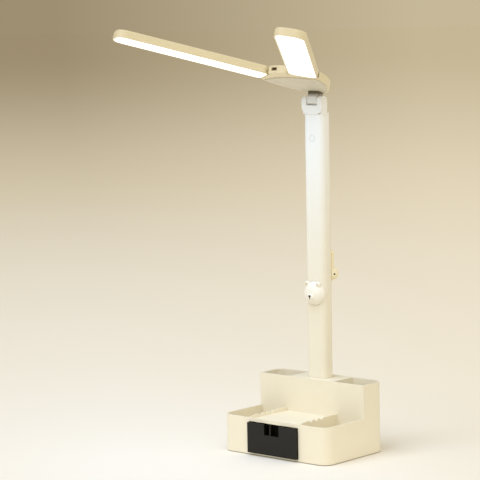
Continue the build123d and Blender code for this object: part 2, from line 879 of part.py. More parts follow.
def lower_plan(sketch, gap):
    """The lower cover's outline: the hub's, drawn in evenly and cut off along a curved front edge."""
    hub_plan(sketch, lower_rim + gap)
    radius = lower_front_radius
    middle = radius - lower_front + gap
    with BuildLine() as ahead:
        ThreePointArc((-radius, middle), (0, middle - radius), (radius, middle))
        Polyline((radius, middle), (radius, -2 * radius), (-radius, -2 * radius), (-radius, middle))
    make_face(ahead.edges(), mode=Mode.SUBTRACT)


def knuckle_profile(reach):
    """A hinge barrel in section with the web that ties it to its part, at a signed reach."""
    with Locations((0, hinge_height)):
        Circle(knuckle_radius)
    with Locations((reach / 2, hinge_height)):
        Rectangle(abs(reach), 2 * knuckle_radius)


with BuildPart() as hub_upper_cover:
    with BuildSketch(hub_plane) as outline:
        hub_plan(outline)
    extrude(amount=hub_thickness)
    fillet(hub_upper_cover.faces().sort_by(hub_up)[-1].edges(), hub_edge_round)
    # Hollow between roof and lip, kept back from the hinge slots
    with BuildSketch(hub_plane.offset(lower_seat)) as hollow:
        hub_plan(hollow, hub_wall)
        for side in (-1, 1):
            hinge_band(side, -cavity_start, cavity_start, panel_width)
    extrude(amount=hub_roof - lower_seat, mode=Mode.SUBTRACT)
    with BuildSketch(hub_plane) as opening:
        lower_plan(opening, 0)
    extrude(amount=lower_seat, mode=Mode.SUBTRACT)
    # Open slots over the hinge lines, with lugs for the pins
    for side in (-1, 1):
        with BuildSketch(panel_plane(side).offset(lip_thickness)):
            Rectangle(2 * hinge_clear, 2 * (half_panel + lug_gap))
        extrude(amount=hub_thickness, mode=Mode.SUBTRACT)
    for side in (-1, 1):
        for start in lug_starts:
            with BuildSketch(hinge_section(side, start)):
                knuckle_profile(-hinge_clear - hub_wall / 2)
            extrude(amount=lug_length)
        with BuildSketch(hinge_section(side, lug_outer)):
            with Locations((0, hinge_height)):
                Circle(hinge_pin_radius + pin_fit)
        extrude(amount=2 * lug_outer, mode=Mode.SUBTRACT)
    # A blind window in the nose's front wall
    with BuildSketch(nose_window_plane):
        Rectangle(nose_window[0], nose_window[1])
    extrude(amount=-nose_window[2], mode=Mode.SUBTRACT)
    # Bosses for the lower cover's screws and the tongue's screws
    for places, low in ((hub_screw_places, lower_seat), (tongue_screws_at, flange_roof)):
        with BuildSketch(hub_plane.offset(low)):
            with Locations(*places):
                Circle(hub_boss)
        extrude(amount=hub_roof - low)
        with BuildSketch(hub_plane.offset(low)):
            with Locations(*places):
                Circle(screw_radius + screw_fit)
        extrude(amount=hub_roof - low, mode=Mode.SUBTRACT)
save(hub_upper_cover, "hub_upper_cover")

notch_half_width = tongue_half + tongue_gap
notch_start = hub_forward - tongue_radius - tongue_gap

with BuildPart() as hub_lower_cover:
    with BuildSketch(hub_plane.offset(-lower_drop)) as outline:
        lower_plan(outline, pass_fit)
    extrude(amount=lower_drop + lower_seat)
    fillet(hub_lower_cover.faces().sort_by(hub_up)[0].edges(), lower_round)
    with BuildSketch(hub_plane.offset(-lower_drop)):
        with Locations((0, notch_start)):
            Rectangle(2 * notch_half_width, hub_rear, align=(CENTRE, LOW))
        with Locations(*hub_screw_places):
            Circle(screw_radius + pass_fit)
    extrude(amount=lower_drop + lower_seat, mode=Mode.SUBTRACT)
    with BuildSketch(hub_plane.offset(-lower_drop)):
        with Locations(*hub_screw_places):
            Circle(screw_head_radius + pass_fit)
    extrude(amount=head_recess, mode=Mode.SUBTRACT)
save(hub_lower_cover, "hub_lower_cover")

with BuildPart() as hub_tongue:
    with BuildSketch(hub_side_plane):
        with Locations((hub_forward, -hub_rise)):
            Circle(tongue_radius)
            Rectangle(2 * tongue_radius, hub_rise + lower_seat, align=(CENTRE, LOW))
    extrude(amount=tongue_half, both=True)
    with BuildSketch(hub_plane.offset(lower_seat)):
        with Locations((0, tongue_flange_front)):
            flange_size = (2 * tongue_flange_half, tongue_flange_back - tongue_flange_front)
            Rectangle(*flange_size, align=(CENTRE, LOW))
    extrude(amount=tongue_flange_thick)
    with BuildSketch(hub_plane.offset(lower_seat)):
        with Locations(*tongue_screws_at):
            Circle(screw_radius + pass_fit)
    extrude(amount=tongue_flange_thick, mode=Mode.SUBTRACT)
    with BuildSketch(hub_plane.offset(lower_seat)):
        with Locations(*tongue_screws_at):
            Circle(screw_head_radius + pass_fit)
    extrude(amount=head_recess, mode=Mode.SUBTRACT)
    with BuildSketch(hub_side_plane):
        with Locations((hub_forward, -hub_rise)):
            Circle(tilt_pin_radius + running_fit)
    extrude(amount=tongue_half, both=True, mode=Mode.SUBTRACT)
save(hub_tongue, "hub_tongue")

with BuildPart() as tongue_screws:
    reach = hub_roof - lower_seat - head_recess - pass_fit
    screw_set(tongue_screws_at, hub_plane, lower_seat + head_recess, reach)
save(tongue_screws, "tongue_screws")

with BuildPart() as hub_screws:
    reach = hub_roof + lower_drop - head_recess - pass_fit
    screw_set(hub_screw_places, hub_plane, head_recess - lower_drop, reach)
save(hub_screws, "hub_screws")

with BuildPart() as hub_board:
    with BuildSketch(hub_plane.offset(hub_roof - hub_board_size[2])):
        with Locations((0, hub_board_y)):
            Rectangle(hub_board_size[0], hub_board_size[1])
    extrude(amount=hub_board_size[2])
save(hub_board, "hub_board")

# ---------------------------------------------------------------- light panels

diffuser_top = diffuser_inset + diffuser_thickness
cavity_inset = panel_rim + panel_ledge
led_board_low = panel_roof_height - led_board_thickness
led_board_start = cavity_start + board_gap
led_board_end = panel_length - panel_crown - led_board_width / 4
led_pitch_along = (led_board_end - led_board_start) / led_columns
led_pitch_across = led_board_width / led_rows
led_middle = (led_board_start + led_board_end) / 2


def panel_cover(side):
    """A panel's back cover: roof, rim, ledge for the diffuser and the hinge's middle knuckle."""
    plane = panel_plane(side)
    with BuildPart() as cover:
        with BuildSketch(plane) as outline:
            panel_outline(0)
            soften_panel(outline, 0)
        extrude(amount=hub_thickness)
        fillet(cover.faces().sort_by(hub_up)[-1].edges(), panel_round)
        with BuildSketch(plane.offset(lip_thickness)):
            Rectangle(2 * hinge_clear, 2 * panel_width)
        extrude(amount=hub_thickness, mode=Mode.SUBTRACT)
        with BuildSketch(plane) as recess:
            panel_outline(panel_rim)
            soften_panel(recess, panel_rim)
        extrude(amount=diffuser_top, mode=Mode.SUBTRACT)
        with BuildSketch(plane.offset(diffuser_top)) as cavity:
            panel_outline(cavity_inset)
            soften_panel(cavity, cavity_inset)
            Rectangle(2 * cavity_start, panel_width, mode=Mode.SUBTRACT)
        extrude(amount=panel_roof_height - diffuser_top, mode=Mode.SUBTRACT)
        with BuildSketch(hinge_section(side, 0)):
            knuckle_profile(hinge_clear + panel_roof / 2)
        extrude(amount=knuckle_half, both=True)
        with BuildSketch(hinge_section(side, 0)):
            with Locations((0, hinge_height)):
                Circle(hinge_pin_radius + running_fit)
        extrude(amount=knuckle_half, both=True, mode=Mode.SUBTRACT)
    return cover


def panel_diffuser(side):
    """A panel's light diffuser, set into the rim just short of flush."""
    with BuildPart() as diffuser:
        with BuildSketch(panel_plane(side).offset(diffuser_inset)) as outline:
            panel_outline(panel_rim + diffuser_gap)
            soften_panel(outline, panel_rim + diffuser_gap)
        extrude(amount=diffuser_thickness)
    return diffuser


def led_board(side):
    """A panel's light board, fixed under the roof."""
    with BuildPart() as board:
        with BuildSketch(panel_plane(side).offset(led_board_low)):
            with Locations((led_middle, 0)):
                size = (led_board_end - led_board_start, led_board_width)
                RectangleRounded(*size, panel_inner_corner - cavity_inset)
        extrude(amount=led_board_thickness)
    return board


def panel_leds(side):
    """A panel's light-emitting diodes, in rows on the underside of its board."""
    with BuildPart() as leds:
        with BuildSketch(panel_plane(side).offset(led_board_low - led_height)):
            with Locations((led_middle, 0)):
                with GridLocations(led_pitch_along, led_pitch_across, led_columns, led_rows):
                    Rectangle(led_size, led_size)
        extrude(amount=led_height)
    return leds


def hinge_pin(side):
    """The pin through a panel's knuckle and the hub's two lugs."""
    reach = lug_outer - pin_end
    with BuildPart() as pin:
        with BuildSketch(hinge_section(side, 0)):
            with Locations((0, hinge_height)):
                Circle(hinge_pin_radius)
        extrude(amount=reach, both=True)
    return pin


for side_name, side_sign in SIDES.items():
    save(panel_cover(side_sign), f"{side_name}_panel_cover")
    save(panel_diffuser(side_sign), f"{side_name}_panel_diffuser")
    save(led_board(side_sign), f"{side_name}_led_board")
    save(panel_leds(side_sign), f"{side_name}_leds")
    save(hinge_pin(side_sign), f"{side_name}_hinge_pin")

# ---------------------------------------------------------------- bear ornaments


def ellipsoid(radii, place):
    """An ellipsoid in the open part, given its three radii."""
    ball = scale(Sphere(1, mode=Mode.PRIVATE), by=radii, mode=Mode.PRIVATE)
    with Locations(place):
        add(ball)


def clear_of_column(low, high):
    """Cut the column's space, with its clearance, out of the open part."""
    with BuildSketch(upright(low)) as section:
        column_plan(bear_gap)
    extrude(section.sketch, amount=high - low, mode=Mode.SUBTRACT)


bear_y = column_y - bear_forward
bear_low = bear_height - 2 * bear_radii[2]
bear_high = bear_height + 2 * bear_radii[2]

with BuildPart() as bear:
    ellipsoid(bear_radii, (0, bear_y, bear_height))
    for side in (-1, 1):
        ellipsoid(ear_radii, (side * ear_x, bear_y - ear_forward, bear_height + ear_rise))
    ellipsoid(muzzle_radii, (0, bear_y - muzzle_forward, bear_height - muzzle_drop))
    with Locations((0, column_y - bear_wrap, bear_low)):
        Box(4 * bear_radii[0], column_thick, bear_high - bear_low, align=(CENTRE, LOW, LOW), mode=Mode.SUBTRACT)
    clear_of_column(bear_low, bear_high)
save(bear, "bear_ornament")

with BuildPart() as bear_nose:
    ellipsoid(nose_radii, (0, bear_y - nose_forward, bear_height - nose_drop))
    add(bear.part, mode=Mode.SUBTRACT)
save(bear_nose, "bear_nose")


def beside_column(place, shift=(0, 0, 0)):
    """A place given from the column's axis, with an optional shift."""
    return (place[0] + shift[0], column_y + place[1] + shift[1], place[2] + shift[2])


with BuildPart() as cub:
    for place, radius in ((cub_belly_at, cub_belly_radius), (cub_chest_at, cub_chest_radius)):
        with Locations(beside_column(place)):
            Sphere(radius)
    with Locations(beside_column(cub_head_at)):
        Sphere(cub_head_radius)
    for side in (-1, 1):
        spread = (side * cub_ear_spread / 2, side * cub_ear_spread / 2, cub_ear_rise)
        with Locations(beside_column(cub_head_at, spread)):
            Sphere(cub_ear_radius)
        leg = (side * cub_leg_shift[0], cub_leg_shift[1], cub_leg_shift[2])
        with Locations(beside_column(cub_belly_at, leg)):
            Sphere(cub_leg_radius)
    with BuildSketch(upright(cub_arm_from[2])):
        with Locations((cub_arm_from[0], column_y + cub_arm_from[1])):
            Circle(cub_arm_radius)
    extrude(amount=cub_arm_to[2] - cub_arm_from[2])
    with Locations(beside_column(cub_arm_to)):
        Sphere(cub_paw_radius)
    clear_of_column(bear_low, column_top)
save(cub, "cub_ornament")

with BuildPart() as cub_nose:
    with Locations(beside_column(cub_head_at, cub_nose_offset)):
        Sphere(cub_nose_radius)
    add(cub.part, mode=Mode.SUBTRACT)
save(cub_nose, "cub_nose")
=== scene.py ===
"""Looks of a desk lamp that stands on an organiser base with a drawer.

Metres. The frame is the lamp's own: origin at the centre of the base's underside,
+X right, -Y front, +Z up. The rubber feet stand on the floor 1 mm below the origin.
"""

from math import cos, hypot, pi, radians, sin, sqrt

import bmesh
import bpy
from mathutils import Matrix, Vector


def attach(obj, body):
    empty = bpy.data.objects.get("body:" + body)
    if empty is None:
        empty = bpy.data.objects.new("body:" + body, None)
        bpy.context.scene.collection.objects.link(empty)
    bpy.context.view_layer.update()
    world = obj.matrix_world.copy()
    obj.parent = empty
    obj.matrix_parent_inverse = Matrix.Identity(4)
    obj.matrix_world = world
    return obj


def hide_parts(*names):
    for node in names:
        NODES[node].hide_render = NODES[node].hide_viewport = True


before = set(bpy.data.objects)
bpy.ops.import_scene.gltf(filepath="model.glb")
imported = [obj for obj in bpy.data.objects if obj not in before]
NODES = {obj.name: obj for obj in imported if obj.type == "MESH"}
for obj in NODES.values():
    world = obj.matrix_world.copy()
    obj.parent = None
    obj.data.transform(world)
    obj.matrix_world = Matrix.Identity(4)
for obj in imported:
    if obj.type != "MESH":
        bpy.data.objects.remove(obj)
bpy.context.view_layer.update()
MM = 0.001

# ---------------------------------------------------------------- sizes repeated from the model

FLOOR_Z = -1.0 * MM
COLUMN_Y = 39.0 * MM
COLUMN_HALF_X = 16.5 * MM
COLUMN_HALF_Y = 10.5 * MM
COLUMN_CORNER = 8.0 * MM
BEAR_GAP = 0.15 * MM
BEAR_BACK_Y = 34.0 * MM
TOUCH_HEIGHT = 418.0 * MM
HEAD_TILT = radians(18.1)
HEAD_PIVOT = Vector((0.0, 33.7 * MM, 468.0 * MM))
HUB_FORWARD = 52.4 * MM
HUB_RISE = 12.8 * MM
PANEL_ANGLE = radians(33.5)

# In millimetres, along the hub's own width, length and height
HUB_DROP = 1.2
HINGE_X = 32.29
HINGE_Y = -17.0
HUB_SCREWS = [(-30.0, 6.0), (30.0, 6.0), (-15.0, 42.0), (15.0, 42.0)]

SIDES = (("left", -1), ("right", 1))

# ---------------------------------------------------------------- small helpers


def linear(red, green, blue):
    """A colour given in 0 to 255 display values, as linear red, green, blue and alpha."""
    channels = []
    for value in (red, green, blue):
        share = value / 255.0
        channels.append(share / 12.92 if share <= 0.04045 else ((share + 0.055) / 1.055) ** 2.4)
    return (*channels, 1.0)


def shaded(colour, factor):
    """A linear colour made lighter or darker by a factor."""
    return (*(min(1.0, channel * factor) for channel in colour[:3]), 1.0)


def link_object(name, data):
    """A new object in the scene that holds a mesh, a lamp or a camera."""
    holder = bpy.data.objects.new(name, data)
    bpy.context.scene.collection.objects.link(holder)
    return holder


def object_from_bmesh(name, build):
    """A smooth-shaded object whose mesh a builder function fills in."""
    shape = bmesh.new()
    build(shape)
    mesh = bpy.data.meshes.new(name)
    shape.to_mesh(mesh)
    shape.free()
    for polygon in mesh.polygons:
        polygon.use_smooth = True
    return link_object(name, mesh)


def dress(piece, material):
    """Give a piece one material in place of those it had."""
    piece.data.materials.clear()
    piece.data.materials.append(material)


def add_detail(name, build, body, material):
    """A piece whose mesh a builder function fills in, dressed and riding on a body."""
    detail = object_from_bmesh(name, build)
    dress(detail, MATERIALS[material])
    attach(detail, body)
    return detail


def turns(count):
    """Equal steps round a full turn, in radians."""
    return [2 * pi * step / count for step in range(count)]


def join_rings(shape, low, high):
    """Faces between two closed rings of as many points each."""
    for index in range(len(low)):
        after = (index + 1) % len(low)
        shape.faces.new((low[index], low[after], high[after], high[index]))


# ---------------------------------------------------------------- materials

# The values between which a noise mostly lies, and the narrower ones of faint clouds
NOISE_LOW, NOISE_HIGH = 0.3, 0.7
CLOUD_LOW, CLOUD_HIGH = 0.35, 0.65
EDGE_SAMPLES = 6
GRAIN_DEPTH = 0.04 * MM
MARK_DEPTH = 0.03 * MM
SHEET_STRENGTH = 1.15


class Shader:
    """A material made of a principled shader and the nodes that drive it."""

    def __init__(self, name, **fixed):
        self.material = bpy.data.materials.new(name)
        self.material.use_nodes = True
        self.tree = self.material.node_tree
        self.tree.nodes.clear()
        self.surface = self.add("ShaderNodeBsdfPrincipled")
        output = self.add("ShaderNodeOutputMaterial")
        self.join(self.surface, "BSDF", output, "Surface")
        self.place = self.add("ShaderNodeTexCoord")
        for socket, value in fixed.items():
            self.surface.inputs[socket.replace("_", " ")].default_value = value

    def add(self, kind, **values):
        """A node, with the values of its sockets."""
        node = self.tree.nodes.new(kind)
        for socket, value in values.items():
            node.inputs[socket.replace("_", " ")].default_value = value
        return node

    def join(self, start, out, end, into):
        """A link between two nodes."""
        self.tree.links.new(start.outputs[out], end.inputs[into])

    def noise(self, scale, detail=2.0, roughness=0.5):
        """Noise laid out in the object's own space."""
        node = self.add("ShaderNodeTexNoise", Scale=scale, Detail=detail, Roughness=roughness)
        self.join(self.place, "Object", node, "Vector")
        return node

    def ramp(self, source, out, stops):
        """Colours spread over a value from 0 to 1."""
        node = self.add("ShaderNodeValToRGB")
        elements = node.color_ramp.elements
        while len(elements) < len(stops):
            elements.new(0.5)
        for element, (position, colour) in zip(elements, stops):
            element.position = position
            element.color = colour
        self.join(source, out, node, "Fac")
        return node

    def tint(self, source, out, stops, socket="Base Color"):
        """A colour socket that follows a value from 0 to 1."""
        self.join(self.ramp(source, out, stops), "Color", self.surface, socket)

    def spread(self, source, low, high, socket):
        """A socket that follows a noise between two values."""
        ends = {"From_Min": NOISE_LOW, "From_Max": NOISE_HIGH, "To_Min": low, "To_Max": high}
        node = self.add("ShaderNodeMapRange", **ends)
        self.join(source, "Fac", node, "Value")
        self.join(node, "Result", self.surface, socket)

    def bump(self, source, strength, distance, edge=0.0):
        """Fine relief from a noise, over edges that look rounded to a radius."""
        node = self.add("ShaderNodeBump", Strength=strength, Distance=distance)
        self.join(source, "Fac", node, "Height")
        if edge:
            rounded = self.add("ShaderNodeBevel", Radius=edge)
            rounded.samples = EDGE_SAMPLES
            self.join(rounded, "Normal", node, "Normal")
        self.join(node, "Normal", self.surface, "Normal")


def eroded(shader, low, high, edge=0.0):
    """Fine spark-eroded grain with uneven gloss, over softened edges."""
    fine = shader.noise(900.0, detail=2.0, roughness=0.6)
    shader.spread(fine, low, high, "Roughness")
    shader.bump(fine, 0.12, GRAIN_DEPTH, edge)


def moulded(name, colour, rough=0.42, vary=0.02, edge=0.0):
    """Moulded plastic: faint cloudy colour, fine grain, uneven gloss and softened edges."""
    shader = Shader(name)
    clouds = shader.noise(14.0, detail=3.0)
    dark, light = shaded(colour, 1 - vary), shaded(colour, 1 + vary)
    shader.tint(clouds, "Fac", [(CLOUD_LOW, dark), (CLOUD_HIGH, light)])
    eroded(shader, rough - 0.05, rough + 0.06, edge)
    return shader.material


def painted_light_by_height(name, bottom, top, low, high):
    """Moulded plastic whose colour changes between two heights, in metres, to paint light or
    shade that falls with height.
    """
    shader = Shader(name)
    heights = shader.add("ShaderNodeSeparateXYZ")
    shader.join(shader.place, "Object", heights, "Vector")
    rise = shader.add("ShaderNodeMapRange", From_Min=low, From_Max=high)
    shader.join(heights, "Z", rise, "Value")
    shader.tint(rise, "Result", [(0.0, bottom), (1.0, top)])
    eroded(shader, 0.4, 0.52)
    return shader.material


def metal(name, colour, rough, scratches=260.0):
    """Drawn, plated or cast metal with fine marks in its finish."""
    shader = Shader(name, Metallic=1.0)
    marks = shader.noise(scratches, detail=4.0, roughness=0.7)
    dark, light = shaded(colour, 0.9), shaded(colour, 1.08)
    shader.tint(marks, "Fac", [(NOISE_LOW, dark), (NOISE_HIGH, light)])
    shader.spread(marks, rough - 0.08, rough + 0.1, "Roughness")
    shader.bump(marks, 0.08, MARK_DEPTH)
    return shader.material


def lit_diffuser(name):
    """A frosted sheet lit from behind, very slightly uneven."""
    shader = Shader(name, Roughness=0.35, Emission_Strength=SHEET_STRENGTH)
    clouds = shader.noise(9.0, detail=1.0)
    glow = [(NOISE_LOW, linear(252, 253, 253)), (NOISE_HIGH, linear(254, 255, 255))]
    sheet = [(NOISE_LOW, linear(250, 250, 249)), (NOISE_HIGH, linear(255, 255, 255))]
    shader.tint(clouds, "Fac", glow, "Emission Color")
    shader.tint(clouds, "Fac", sheet)
    shader.bump(shader.noise(1600.0), 0.1, MARK_DEPTH)
    return shader.material


def smoked(name, colour):
    """Smoked see-through plastic, dark where its walls lie behind one another."""
    shader = Shader(name, IOR=1.45, Transmission_Weight=0.45, Specular_IOR_Level=0.22)
    clouds = shader.noise(18.0, detail=3.0)
    dark, light = shaded(colour, 0.92), shaded(colour, 1.1)
    shader.tint(clouds, "Fac", [(NOISE_LOW, dark), (NOISE_HIGH, light)])
    fine = shader.noise(500.0, detail=3.0)
    shader.spread(fine, 0.09, 0.17, "Roughness")
    shader.bump(fine, 0.05, MARK_DEPTH)
    return shader.material


# The column's colour near its top, paler and cooler than its plastic: painted light from the
# panels, which stays put when a panel folds or the head tilts.
PANEL_LIT_PALE = linear(243, 240, 229)
MATERIALS = {
    "shell": moulded("shell_plastic", linear(243, 234, 209), edge=0.0006),
    # The column turns paler and cooler towards its top: painted light from the panels.
    "column": painted_light_by_height("column_plastic_painted_light", linear(240, 232, 209), PANEL_LIT_PALE, low=0.20, high=0.44),
    # The fork takes the column's paler, cooler top colour: painted light from the panels.
    "fork": moulded("fork_plastic_painted_light", PANEL_LIT_PALE, rough=0.38, edge=0.0003),
    "warm_shell": moulded("panel_plastic", linear(232, 219, 182), rough=0.36, edge=0.0004),
    "grey_cover": moulded("cover_plastic", linear(216, 209, 189), rough=0.5),
    "smoke": smoked("smoked_plastic", linear(30, 26, 18)),
    "diffuser": lit_diffuser("lit_diffuser"),
    "rubber": moulded("foot_rubber", linear(52, 50, 48), rough=0.75, vary=0.08),
    "steel": metal("plain_steel", linear(176, 175, 172), rough=0.34),
    "plated": metal("plated_steel", linear(205, 204, 202), rough=0.24),
    "bracket": metal("cast_bracket", linear(150, 150, 150), rough=0.5, scratches=120.0),
    "nylon": moulded("washer_nylon", linear(236, 234, 226), rough=0.4),
    "dark": moulded("dark_plastic", linear(40, 39, 38), rough=0.5, vary=0.06),
    "cell": moulded("cell_wrap", linear(52, 96, 142), rough=0.25, vary=0.05),
    "board": moulded("board_mask", linear(30, 92, 54), rough=0.3, vary=0.12),
    "led": moulded("led_phosphor", linear(250, 226, 120), rough=0.25),
    "cable": moulded("cable_jacket", linear(46, 45, 44), rough=0.5, vary=0.06),
    "bear": moulded("bear_vinyl", linear(247, 241, 224), rough=0.45, vary=0.015),
    "cub": moulded("cub_vinyl", linear(246, 233, 194), rough=0.45, vary=0.03),
    "inner_ear": moulded("inner_ear_vinyl", linear(226, 214, 190), rough=0.5),
    "black": moulded("glossy_black", linear(24, 20, 18), rough=0.18, vary=0.1),
    # Dark brown for the blocks in the hub's window and hinge notches: painted shade.
    "painted_shade": moulded("shadow_plastic", linear(84, 68, 42), rough=0.5, vary=0.06),
    "mark": moulded("touch_mark", linear(214, 212, 203), rough=0.45),
    # The tongue turns dark brown at its top: painted shadow under the hub.
    "tongue": painted_light_by_height(
        "tongue_plastic_painted_shadow", linear(228, 225, 214), linear(104, 92, 72), low=0.472, high=0.478
    ),
}

NODE_MATERIALS = {
    "shell": ["base_housing"],
    "column": ["column_front_shell", "column_back_shell"],
    "fork": ["neck_fork", "tilt_pin_caps"],
    "tongue": ["hub_tongue"],
    "warm_shell": ["hub_upper_cover", "left_panel_cover", "right_panel_cover"],
    "grey_cover": ["bottom_cover", "hub_lower_cover"],
    "smoke": ["drawer"],
    "diffuser": ["left_panel_diffuser", "right_panel_diffuser"],
    "rubber": ["rubber_feet"],
    "steel": ["ballast_plate", "column_core", "tilt_pin", "left_hinge_pin", "right_hinge_pin"],
    "plated": [
        "bottom_cover_screws", "root_bracket_screws", "column_screws", "tongue_screws",
        "hub_screws", "touch_pad", "charging_socket",
    ],
    "bracket": ["root_bracket"],
    "nylon": ["tilt_washers"],
    "dark": ["battery_holder"],
    "cell": ["battery_cell"],
    "board": ["control_board", "touch_board", "hub_board", "left_led_board", "right_led_board"],
    "led": ["left_leds", "right_leds"],
    "cable": ["wire_harness"],
    "bear": ["bear_ornament"],
    "cub": ["cub_ornament"],
    "black": ["bear_nose", "cub_nose"],
}
for material_name, node_names in NODE_MATERIALS.items():
    for node_name in node_names:
        dress(NODES[node_name], MATERIALS[material_name])

# ---------------------------------------------------------------- bear ornaments

# The column's round corners: where their centres lie, and their radius with the clearance
CORNER_X = COLUMN_HALF_X - COLUMN_CORNER
CORNER_Y = COLUMN_HALF_Y - COLUMN_CORNER
CLEAR_RADIUS = COLUMN_CORNER + BEAR_GAP
BALL_SEGMENTS, BALL_RINGS = 32, 20
LIMB_STEPS = 8
LIMB_STRETCH = 1.6
FIGURE_VOXEL = 0.45 * MM


def add_ball(shape, centre, radii):
    """An ellipsoid, given in millimetres, in an open mesh."""
    size = Matrix.Diagonal((*(radius * MM for radius in radii), 1.0))
    place = Matrix.Translation([value * MM for value in centre])
    bmesh.ops.create_uvsphere(
        shape, u_segments=BALL_SEGMENTS, v_segments=BALL_RINGS, radius=1.0, matrix=place @ size
    )


def add_limb(shape, start, end, radius):
    """An upright round limb, given in millimetres, in an open mesh."""
    for step in range(LIMB_STEPS + 1):
        share = step / LIMB_STEPS
        centre = [a + (b - a) * share for a, b in zip(start, end)]
        add_ball(shape, centre, (radius, radius, radius * LIMB_STRETCH))


def made_of(balls, limbs=()):
    """A builder function that fills an open mesh with balls and limbs."""

    def build(shape):
        for centre, radii in balls:
            add_ball(shape, centre, radii)
        for start, end, radius in limbs:
            add_limb(shape, start, end, radius)

    return build


def column_front_at(x):
    """The column's front surface, with the clearance, at a distance from its middle."""
    across = abs(x) - CORNER_X
    middle = COLUMN_Y - CORNER_Y
    if across <= 0:
        return middle - CLEAR_RADIUS
    if across >= CLEAR_RADIUS:
        return middle
    return middle - sqrt(CLEAR_RADIUS**2 - across**2)


def keep_ahead(vertex):
    """Flatten the front ornament's back against the column."""
    vertex.co.y = min(vertex.co.y, column_front_at(vertex.co.x), BEAR_BACK_Y)


def keep_behind(vertex):
    """Push the rear ornament out of the column, square to the nearest surface."""
    side = 1 if vertex.co.x > 0 else -1
    aside = abs(vertex.co.x) - CORNER_X
    back = vertex.co.y - COLUMN_Y - CORNER_Y
    if aside <= 0:
        back = max(back, CLEAR_RADIUS)
    elif back > 0 and hypot(aside, back) < CLEAR_RADIUS:
        grow = CLEAR_RADIUS / hypot(aside, back)
        vertex.co.x = side * (aside * grow + CORNER_X)
        back *= grow
    elif back <= 0 and aside < CLEAR_RADIUS:
        vertex.co.x = side * (CLEAR_RADIUS + CORNER_X)
    vertex.co.y = back + COLUMN_Y + CORNER_Y


def modelled(name, build, keep, material, node):
    """A soft figure melted together from its parts and fitted against the column."""
    rough = object_from_bmesh(name + "_rough", build)
    melt = rough.modifiers.new("melt", "REMESH")
    melt.mode = "VOXEL"
    melt.voxel_size = FIGURE_VOXEL
    melt.use_smooth_shade = True
    soften = rough.modifiers.new("soften", "SMOOTH")
    soften.factor = 0.5
    soften.iterations = 6
    depsgraph = bpy.context.evaluated_depsgraph_get()
    mesh = bpy.data.meshes.new_from_object(rough.evaluated_get(depsgraph))
    mesh.name = name
    bpy.data.objects.remove(rough)
    for vertex in mesh.vertices:
        keep(vertex)
    figure = link_object(name, mesh)
    dress(figure, MATERIALS[material])
    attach(figure, "base")
    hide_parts(node)


# The centre and the three radii of each ball, in millimetres
BEAR_BALLS = [
    ((0.0, 30.1, 209.3), (17.0, 11.0, 16.3)),
    ((0.0, 21.1, 205.6), (6.2, 3.6, 4.8)),
    ((-9.2, 25.0, 222.0), (4.0, 2.8, 3.9)),
    ((9.2, 25.0, 222.0), (4.0, 2.8, 3.9)),
    ((-13.2, 30.5, 207.0), (3.6, 3.0, 5.0)),
    ((13.2, 30.5, 207.0), (3.6, 3.0, 5.0)),
]
CUB_BALLS = [
    ((12.5, 52.5, 233.5), (7.6, 7.6, 7.4)),
    ((9.6, 49.9, 240.3), (2.6, 2.4, 2.6)),
    ((15.7, 55.7, 239.9), (2.5, 2.4, 2.5)),
    ((16.8, 49.3, 231.7), (3.2, 2.6, 2.4)),
    ((4.0, 53.0, 227.0), (6.6, 6.2, 6.6)),
    ((-1.5, 53.5, 218.0), (7.0, 6.8, 7.2)),
    ((3.1, 55.9, 212.4), (3.6, 3.6, 3.8)),
    ((-6.1, 51.1, 212.4), (3.6, 3.4, 3.8)),
    ((12.4, 51.2, 263.0), (3.5, 3.2, 3.4)),
]
SNOUT_BALLS = [
    ((0.0, 17.5, 206.4), (1.9, 0.9, 1.5)),
    ((0.0, 17.6, 204.0), (0.6, 0.6, 2.0)),
]
INNER_EAR_BALLS = [
    ((-9.2, 22.9, 222.2), (2.2, 0.9, 2.1)),
    ((9.2, 22.9, 222.2), (2.2, 0.9, 2.1)),
]
# Both ends and the radius of each limb, in millimetres
CUB_LIMBS = [((12.4, 51.2, 236.0), (12.4, 51.2, 262.0), 2.7)]

modelled("bear_figure", made_of(BEAR_BALLS), keep_ahead, "bear", "bear_ornament")
modelled("cub_figure", made_of(CUB_BALLS, CUB_LIMBS), keep_behind, "cub", "cub_ornament")
snout = add_detail("bear_snout", made_of(SNOUT_BALLS), "base", "black")
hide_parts("bear_nose")
add_detail("bear_inner_ears", made_of(INNER_EAR_BALLS), "base", "inner_ear")

# ---------------------------------------------------------------- touch mark, caps, painted shade blocks and pull rib

# The ring that marks the touch control, in millimetres
TOUCH_RADIUS = 4.4
TOUCH_HALF_WIDTH = 0.35
TOUCH_HALF_DEPTH = 0.12
TOUCH_AHEAD = 0.13
TOUCH_ROUNDS, TOUCH_SIDES = 64, 10
# The rings of a screw cap: the radius of each, and how far it stands out, in millimetres
CAP_RINGS = ((2.9, 0.03), (2.85, 0.2), (2.3, 0.34), (1.2, 0.4))
CAP_SIDES = 32
# Blocks in millimetres: from where to where each reaches along its three directions
# The window and hinge blocks are dark sheets that paint the shade inside the hub's window and
# hinge notches.
WINDOW_SHADE_REACH = ((-9.3, 0.3), (-31.6, -30.7), (3.6, 7.6))
HINGE_SHADE_REACH = ((-4.2, -0.6), (14.8, 18.4), (2.75, 9.4))
PULL_RIB_REACH = ((-3.9, -1.5), (-65.7, -57.4), (29.7, 43.4))
BLOCK_EDGE = 0.3
BLOCK_FACES = (
    (0, 1, 2, 3), (4, 5, 6, 7), (0, 1, 5, 4), (1, 2, 6, 5), (2, 3, 7, 6), (3, 0, 4, 7)
)


